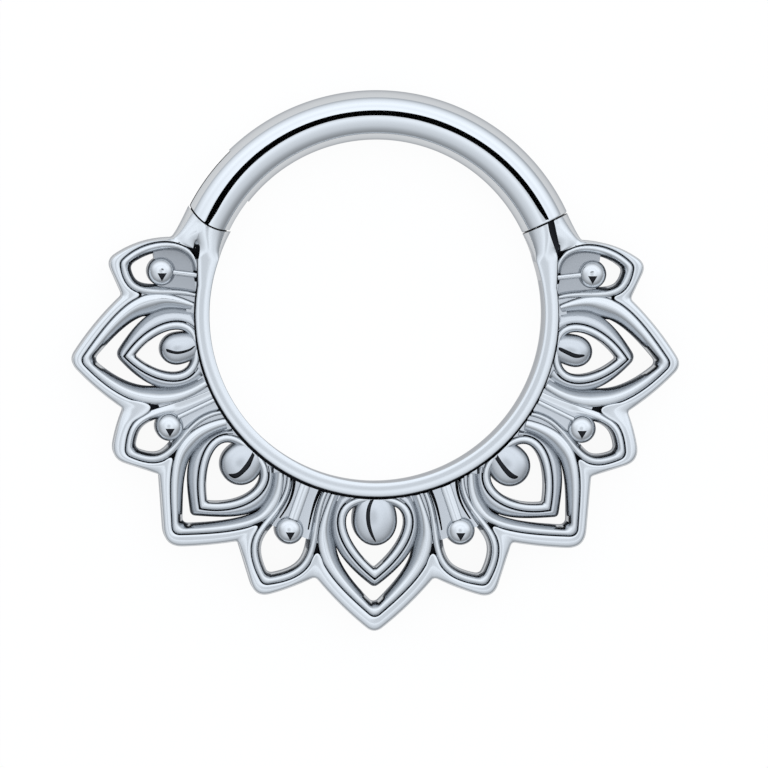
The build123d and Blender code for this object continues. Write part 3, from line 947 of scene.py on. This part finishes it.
def rim_groove():
    """The cut for the groove between the rim and the petals, its faces painted dark as shade."""
    run = resampled(rim_outer_runs()[1], RIM_GROOVE_STEPS)
    width = np.interp(np.linspace(0.0, 1.0, len(run)), *RIM_GROOVE_WIDTHS)
    outer, inner = shifted(run, width), shifted(run, -RIM_GROOVE_LAP)
    outline = np.vstack([whole(outer), whole(inner)[::-1]])
    return prism("rim_groove", outline, RIM_GROOVE_LOW, CUT[1], finish=DARK)


# The hollow on the right arm between rim and border: a path with its half width, and the pit
# beside the left arm, both drawn on the right side
ARM_HOLLOW = (
    (4.15, 2.10, 0.08), (4.19, 1.95, 0.085), (4.244, 1.69, 0.087),
    (4.32, 1.457, 0.073), (4.38, 1.27, 0.06), (4.40, 1.12, 0.03),
)
LEFT_PIT = ((4.52, 1.30), (4.29, 1.42), (4.33, 1.02), (4.37, 1.02))
ARM_HOLLOW_LOW = 0.98


def arm_hollows():
    """The cuts for the hollows where the arms part into rim and border, their faces painted dark as shade.
    """
    rows = np.array(ARM_HOLLOW)
    path = rows[:, :2]
    shape = np.vstack([shifted(path, rows[:, 2]), shifted(path, -rows[:, 2])[::-1]])
    right = prism("arm_hollow", softened(shape), ARM_HOLLOW_LOW, CUT[1], finish=DARK)
    left = prism("left_pit", softened(np.array(LEFT_PIT)), WEB_TOP, CUT[1], finish=DARK)
    return [right, mirror(left)]


WEB_SKIP = 14


def make_web(border_outer, border_inner):
    """The plate under the relief, with its raised beds and its gaps."""
    right = ((border_outer + border_inner) / 2)[WEB_SKIP:]
    half = whole(right)
    rim_middle = (RIM_INNER_R + RIM_OUTER_R) / 2
    end = math.degrees(math.atan2(half[0][1] - RIM_CENTER[1], half[0][0]))
    end = min(end, WEB_END_ANGLE)
    inner = arc(RIM_CENTER, rim_middle, 180 - end, 360 + end, DISC_STEPS)
    outline = np.vstack([half, inner])
    # The plate's own faces, seen deep between the strips, get the painted dark: painted shade.
    web = prism("web", outline, 0.0, WEB_TOP, finish=DARK)
    cuts = []
    for petal in OUTER_LINES:
        cuts += both_sides(petal, *gap_prisms(petal))
    for petal in SMALL_LINES:
        cuts += both_sides(petal, small_gap_prism(petal))
    near, between = [
        sector("bed", RIM_CENTER, rim_middle, reach, *BED_SPAN, BED_LOW, BED_TOP, finish=SATIN)
        for reach in (RIM_OUTER_R + BED_RIM_REACH, BED_OUTER_R)
    ]
    between = combine(between, petal_floors(), "DIFFERENCE")
    return combine(combine(web, [near, between], "UNION"), cuts, "DIFFERENCE")


def petal_floors():
    """Upright solids over the insides of the large petals."""
    solids = []
    for petal in OUTER_LINES:
        arms = moved_in(petal_arms(OUTER_LINES, petal, FLOOR_START), RIDGE_W / 2, petal)
        outline = resampled(around(arms), FLOOR_STEPS)
        solids += both_sides(petal, prism("floor_" + petal, outline, *CUT, finish=SATIN))
    return solids


def from_share(run, share):
    """The part of a run from a share of its curve to its end."""
    return run[int(share * (len(run) - 1)) :]


def gap_cutter(name, outline, steps):
    """The upright cut for a gap with this outline, which leaves the walls' painted shade on the gap's sides.
    """
    points = resampled(np.vstack([outline, outline[:1]]), steps)[:-1]
    return prism(name, points, *CUT, finish=WALL)


def gap_prisms(petal):
    """The cuts for a large petal's two gaps, whose edges are hidden under the strips beside them."""
    outer = petal_arms(OUTER_LINES, petal, from_rim=True)
    ridge_in = ridge_inner_edge(petal, outer, GAP_LAP)
    inner = rounded(*moved_in(petal_arms(INNER_LINES, petal), GAP_LAP, petal), BAND_TIP_R[petal])
    start_outer, start_inner = V_GAP_START[petal]
    outer_part = around([from_share(run, start_outer) for run in ridge_in])
    inner_part = around([from_share(run, start_inner) for run in inner[::-1]])
    outline = np.vstack([outer_part, inner_part])
    v_gap = gap_cutter("v_gap_" + petal, outline, V_GAP_STEPS)
    loop = petal_arms(LOOP_LINES, petal, LOOP_GAP_START)
    arms = moved_in(loop, LOOP_HALF_W - GAP_LAP, petal)
    drop = gap_cutter("drop_" + petal, around(arms), DROP_STEPS)
    return [v_gap, drop]


def small_gap_prism(petal):
    arms = petal_arms(SMALL_LINES, petal, from_rim=True)
    arms = [from_share(run, share) for run, share in zip(arms, SMALL_GAP_START[petal])]
    arms = moved_in(arms, RIDGE_W / 2, petal)
    return gap_cutter("small_gap_" + petal, around(arms), DROP_STEPS)


def tab_sector(name, back, ahead, half_width, low, high):
    """The closing tab, or with more width and length its pocket. It follows the bar's swing."""
    seam = polar(BAR_R, SEAM_ANGLE)
    reach = np.linalg.norm(seam - PIVOT)
    middle = math.degrees(math.atan2(*(seam - PIVOT)[::-1]))
    start = middle - math.degrees(ahead / reach)
    end = middle + math.degrees(back / reach)
    return sector(name, PIVOT, reach - half_width, reach + half_width, start, end, low, high)


def right_seam_cut():
    """Everything of the right arm that lies past its seam."""
    angle = SEAM_ANGLE - math.degrees(SEAM_GAP / 2 / BAR_R)
    return sector("seam_cut", (0.0, 0.0), *SEAM_CUT_RADII, angle, angle + SEAM_CUT_SPAN, *TALL_CUT, DARK)


def make_base():
    strips = [make_border()]
    web = make_web(*paired(*border_edges()))
    for petal, furrows in REFLECTION_FURROWS.items():
        strips += both_sides(petal, *large_petal(petal)) + [bud(petal, furrows[0])]
        strips += [mirror(bud(petal, furrow)) for furrow in furrows[1:]]
    for petal in SMALL_LINES:
        strips += both_sides(petal, *small_petal(petal))
    base = combine(web, strips, "UNION")
    base = combine(base, [rim_groove()], "DIFFERENCE")
    base = combine(base, [make_rim()], "UNION")
    cuts = arm_hollows() + both_sides("low", *slots("low"))
    base = combine(base, cuts, "DIFFERENCE")
    # The faces cut at the seam and round the hinge's ear room get the painted dark: painted shade in the
    # crevices.
    cuts = [right_seam_cut(), disc("ear_room", PIVOT, EAR_R + EAR_GAP, *TALL_CUT, DISC_STEPS, DARK)]
    pocket_z = (TAB_Z[0] - TAB_GAP, TAB_Z[1] + TAB_GAP)
    cuts.append(tab_sector("pocket", TAB_ROOT, TAB_LENGTH + TAB_GAP, TAB_HALF_W + TAB_GAP, *pocket_z))
    base = combine(base, cuts, "DIFFERENCE")
    radii = (BAR_R - TONGUE_R, BAR_R + TONGUE_R)
    # The tongue and knuckle are in the painted dark too: painted shade inside the hinge.
    tongue = sector("tongue", (0.0, 0.0), *radii, PIVOT_ANGLE, TONGUE_ROOT_ANGLE, *TONGUE_Z, DARK)
    knuckle = disc("knuckle", PIVOT, TONGUE_R, *TONGUE_Z, finish=DARK)
    base = combine(base, [tongue, knuckle], "UNION")
    return combine(base, [disc("pin_bore", PIVOT, PIN_R, *TALL_CUT)], "DIFFERENCE")


# The bar


def make_bar():
    """The round bar: a bevelled end with the closing tab, and a fork with rounded ears."""
    half_gap = math.degrees(SEAM_GAP / 2 / BAR_R)
    ear_span = math.degrees(EAR_R / BAR_R)
    bar = tube("bar", SEAM_ANGLE + half_gap, PIVOT_ANGLE, END_BEVEL)
    ears = tube("ears", PIVOT_ANGLE - ear_span, PIVOT_ANGLE + 2 * ear_span)
    # The ears' rounded ends come from a cutter in the painted dark: painted shade on the ends.
    ears = combine(ears, [disc("ear_end", PIVOT, EAR_R, *TALL_CUT, DISC_STEPS, DARK)], "INTERSECT")
    bar = combine(bar, [ears], "UNION")
    low, high = TONGUE_Z[0] - SLOT_GAP, TONGUE_Z[1] + SLOT_GAP
    to_base = PIVOT_ANGLE + 90.0
    opened = to_base - OPEN_ANGLE - SWING_MARGIN
    half_w = TONGUE_R + SLOT_END_GAP
    cuts = [
        disc("slot", PIVOT, half_w, low, high),
        box_from_pivot("slot_to_base", to_base, 2 * TUBE_R, 2 * EAR_R, low, high),
        box_from_pivot("slot_opened", opened, half_w, 2 * EAR_R, low, high),
        disc("bore", PIVOT, PIN_R + BORE_GAP, TALL_CUT[0], BORE_TOP),
    ]
    bar = combine(bar, cuts, "DIFFERENCE")
    tab = tab_sector("tab", TAB_ROOT, TAB_LENGTH, TAB_HALF_W, *TAB_Z)
    return combine(bar, [tab], "UNION")


def tube(name, start, end, bevel=0.0):
    """The round bar between two angles, its first end bevelled."""
    count = int(math.radians(end - start) * BAR_R / STEP)
    angles = list(np.linspace(start, end, count))
    radii = [TUBE_R] * count
    if bevel:
        turn = np.linspace(0.0, math.pi / 2, BEVEL_STEPS)
        first = start + np.degrees(bevel * (1 - np.sin(turn)) / BAR_R)
        angles = list(first) + [a for a in angles if a > first[0] + 0.1]
        angles.sort()
        radii = []
        for angle in angles:
            depth = max(0.0, bevel - math.radians(angle - start) * BAR_R)
            radii.append(TUBE_R - bevel + math.sqrt(max(0.0, bevel**2 - depth**2)))
    ring = ROUND_STEPS
    vertices, faces = [], []
    for angle, radius in zip(angles, radii):
        for k in range(ring):
            turn = 2 * math.pi * k / ring
            x, y = polar(BAR_R + radius * math.cos(turn), angle)
            vertices.append((x, y, TUBE_R + radius * math.sin(turn)))
    for i in range(len(angles) - 1):
        for k in range(ring):
            m = (k + 1) % ring
            faces.append((i * ring + k, i * ring + m, (i + 1) * ring + m, (i + 1) * ring + k))
    faces.append(tuple(range(ring)))
    faces.append(tuple(range((len(angles) - 1) * ring, len(angles) * ring)))
    return mesh_object(name, vertices, faces)


def box_from_pivot(name, direction, half_width, length, low, high):
    """A flat box that starts at the pivot and points in a direction."""
    along = polar(1.0, direction)
    side = np.array([-along[1], along[0]]) * half_width
    far = PIVOT + along * length
    return prism(name, np.array([PIVOT - side, far - side, far + side, PIVOT + side]), low, high)


def finished(obj, name, body, node, material=None):
    """Scales a piece to metres, smooths it between its sharp edges and puts it on its body."""
    obj.name = obj.data.name = name
    obj.data.transform(Matrix.Scale(MM, 4))
    obj.data.polygons.foreach_set("use_smooth", [True] * len(obj.data.polygons))
    obj.data.set_sharp_from_angle(angle=math.radians(SHARP_ANGLE))
    if material:
        obj.data.materials[0] = material
    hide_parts(node)
    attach(obj, body)


# Studio: a light tent seen by direction, a floor and the camera

VIEW_YAW = 4.0
VIEW_PITCH = 2.5
VIEW_ROLL = -0.5
LENS = 300.0
FRAME_WIDTH = 18.60
TARGET = (0.18, -1.98, 1.0)
CLIP = (0.001, 10.0)
FLOOR_HALF = 1.5
FLOOR_GREY = 0.06
FLOOR_GLOW = 0.935


def camera_direction():
    yaw, pitch = math.radians(VIEW_YAW), math.radians(VIEW_PITCH)
    return Vector((-math.sin(yaw) * math.cos(pitch), math.sin(pitch), math.cos(yaw) * math.cos(pitch)))


def make_camera():
    data = bpy.data.cameras.new("camera")
    data.lens = LENS
    data.clip_start, data.clip_end = CLIP
    camera = linked("camera", data)
    back = camera_direction()
    distance = FRAME_WIDTH * LENS / data.sensor_width
    camera.location = (Vector(TARGET) + back * distance) * MM
    up = Vector((0.0, 1.0, 0.0))
    right = up.cross(back).normalized()
    up = back.cross(right)
    turn = Matrix((right, up, back)).transposed()
    camera.rotation_mode = "QUATERNION"
    camera.rotation_quaternion = (turn @ Matrix.Rotation(math.radians(-VIEW_ROLL), 3, "Z")).to_quaternion()
    bpy.context.scene.camera = camera


def matte(name, grey):
    """A dull material and its shader."""
    material = bpy.data.materials.new(name)
    material.use_nodes = True
    shader = material.node_tree.nodes["Principled BSDF"]
    put(shader, Base_Color=(grey, grey, grey, 1.0), Roughness=1.0, Specular_IOR_Level=0.0)
    return material, shader


def make_floor():
    """A pale floor that glows a little."""
    mesh = bpy.data.meshes.new("floor")
    half = FLOOR_HALF
    corners = [(-half, -half, 0), (half, -half, 0), (half, half, 0), (-half, half, 0)]
    mesh.from_pydata(corners, [], [(0, 1, 2, 3)])
    floor = linked("floor", mesh)
    material, shader = matte("floor", FLOOR_GREY)
    put(shader, Emission_Color=(1.0, 1.0, 1.0, 1.0), Emission_Strength=FLOOR_GLOW)
    mesh.materials.append(material)


def ramp(nodes, stops):
    """A ramp over an angle in degrees, from rows of angle and level."""
    node = nodes.new("ShaderNodeValToRGB")
    elements = node.color_ramp.elements
    while len(elements) < len(stops):
        elements.new(1.0)
    for element, (angle, level) in zip(elements, stops):
        element.position = angle / 180.0
        element.color = (level, level, level, 1.0)
    return node


# Brightness of the tent against the angle from the view, towards the ring's top and its bottom
TOP_SIDE = (
    (0, 1.0), (9, 1.0), (16, 1.5), (30, 1.55), (40, 1.42),
    (53, 1.56), (67, 1.34), (76, 1.08), (84, 0.72), (92, 0.60),
)
LOW_SIDE = (
    (0, 1.0), (9, 1.0), (16, 1.38), (24, 1.28), (35, 1.10),
    (55, 0.90), (70, 0.62), (84, 0.42), (100, 0.5),
)
TINT = (0.93, 0.98, 1.04)
# The direction towards the ring's top, and between which heights along it the two sides blend
TOP_DIRECTION = (0.15, 1.0, 0.0)
BLEND_RANGE = (-0.30, 0.60)

# The dark card over the bar: it can be seen from below only up to a slant
FLAG_HEIGHT = 5.0
FLAG_HALF_ANGLE = 13.6
FLAG_SLANT = 22.0
FLAG_CENTER = (-0.144, 1.409)
FLAG_START = 6.5
FLAG_END = 177.0
FLAG_RADII = ((FLAG_START, 50.0, 150.0, FLAG_END), (5.10, 4.16, 4.16, 3.80))
FLAG_STEPS = 80


def make_flag():
    """A dark card over the bar, seen only in reflections, that draws the line along its crest."""
    half_width = math.tan(math.radians(FLAG_HALF_ANGLE)) * FLAG_HEIGHT
    angles = np.linspace(FLAG_START, FLAG_END, FLAG_STEPS)
    radii = np.interp(angles, *FLAG_RADII)
    count = FLAG_STEPS
    level = 2 * TUBE_R + FLAG_HEIGHT
    places = [(radius + k * half_width, angle) for k in (-1, 1) for radius, angle in zip(radii, angles)]
    vertices = [(*polar(*place, FLAG_CENTER), level) for place in places]
    faces = [(i, i + 1, count + i + 1, count + i) for i in range(count - 1)]
    mesh = bpy.data.meshes.new("flag")
    mesh.from_pydata(vertices, [], faces)
    mesh.transform(Matrix.Scale(MM, 4))
    material, shader = matte("flag", 0.0)
    nodes, links = material.node_tree.nodes, material.node_tree.links
    slant = nodes.new("ShaderNodeLayerWeight")
    put(slant, Blend=0.5)
    limit = nodes.new("ShaderNodeMath")
    limit.operation = "GREATER_THAN"
    limit.inputs[1].default_value = 1.0 - math.cos(math.radians(FLAG_SLANT))
    clear = nodes.new("ShaderNodeBsdfTransparent")
    choice = nodes.new("ShaderNodeMixShader")
    links.new(slant.outputs["Facing"], limit.inputs[0])
    links.new(limit.outputs[0], choice.inputs[0])
    links.new(shader.outputs[0], choice.inputs[1])
    links.new(clear.outputs[0], choice.inputs[2])
    links.new(choice.outputs[0], nodes["Material Output"].inputs["Surface"])
    mesh.materials.append(material)
    flag = linked("flag", mesh)
    flag.visible_camera = False
    flag.visible_diffuse = False
    flag.visible_shadow = False


def make_world():
    world = bpy.data.worlds.new("studio")
    bpy.context.scene.world = world
    world.use_nodes = True
    nodes, links = world.node_tree.nodes, world.node_tree.links
    background = nodes["Background"]
    place = nodes.new("ShaderNodeTexCoord")

    def dot(direction):
        node = nodes.new("ShaderNodeVectorMath")
        node.operation = "DOT_PRODUCT"
        node.inputs[1].default_value = direction
        links.new(place.outputs["Generated"], node.inputs[0])
        return node.outputs["Value"]

    def angle_share(direction):
        """The angle from a direction, as a share of 180 degrees."""
        angle, share = nodes.new("ShaderNodeMath"), nodes.new("ShaderNodeMath")
        angle.operation, share.operation = "ARCCOSINE", "DIVIDE"
        share.inputs[1].default_value = math.pi
        links.new(dot(direction), angle.inputs[0])
        links.new(angle.outputs[0], share.inputs[0])
        return share.outputs[0]

    share = angle_share(camera_direction())
    top, low = ramp(nodes, TOP_SIDE), ramp(nodes, LOW_SIDE)
    links.new(share, top.inputs[0])
    links.new(share, low.inputs[0])
    side = nodes.new("ShaderNodeMapRange")
    side.interpolation_type = "SMOOTHSTEP"
    put(side, From_Min=BLEND_RANGE[0], From_Max=BLEND_RANGE[1])
    links.new(dot(TOP_DIRECTION), side.inputs["Value"])
    blend, tint = nodes.new("ShaderNodeMix"), nodes.new("ShaderNodeMix")
    blend.data_type = tint.data_type = "RGBA"
    links.new(side.outputs["Result"], blend.inputs[0])
    links.new(low.outputs[0], blend.inputs[6])
    links.new(top.outputs[0], blend.inputs[7])
    tint.blend_type = "MULTIPLY"
    tint.inputs[0].default_value = 1.0
    tint.inputs[7].default_value = (*TINT, 1.0)
    links.new(blend.outputs[2], tint.inputs[6])
    links.new(tint.outputs[2], background.inputs["Color"])
    put(background, Strength=1.0)


finished(make_base(), "cast_base", "base", "filigree_base")
finished(make_bar(), "round_bar", "bar", "hinged_bar", BAR_STEEL)
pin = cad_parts["hinge_pin"]
pin.data.materials.clear()
pin.data.materials.append(PIN_STEEL)
make_camera()
make_floor()
make_flag()
make_world()
bpy.context.scene.view_settings.view_transform = "Standard"
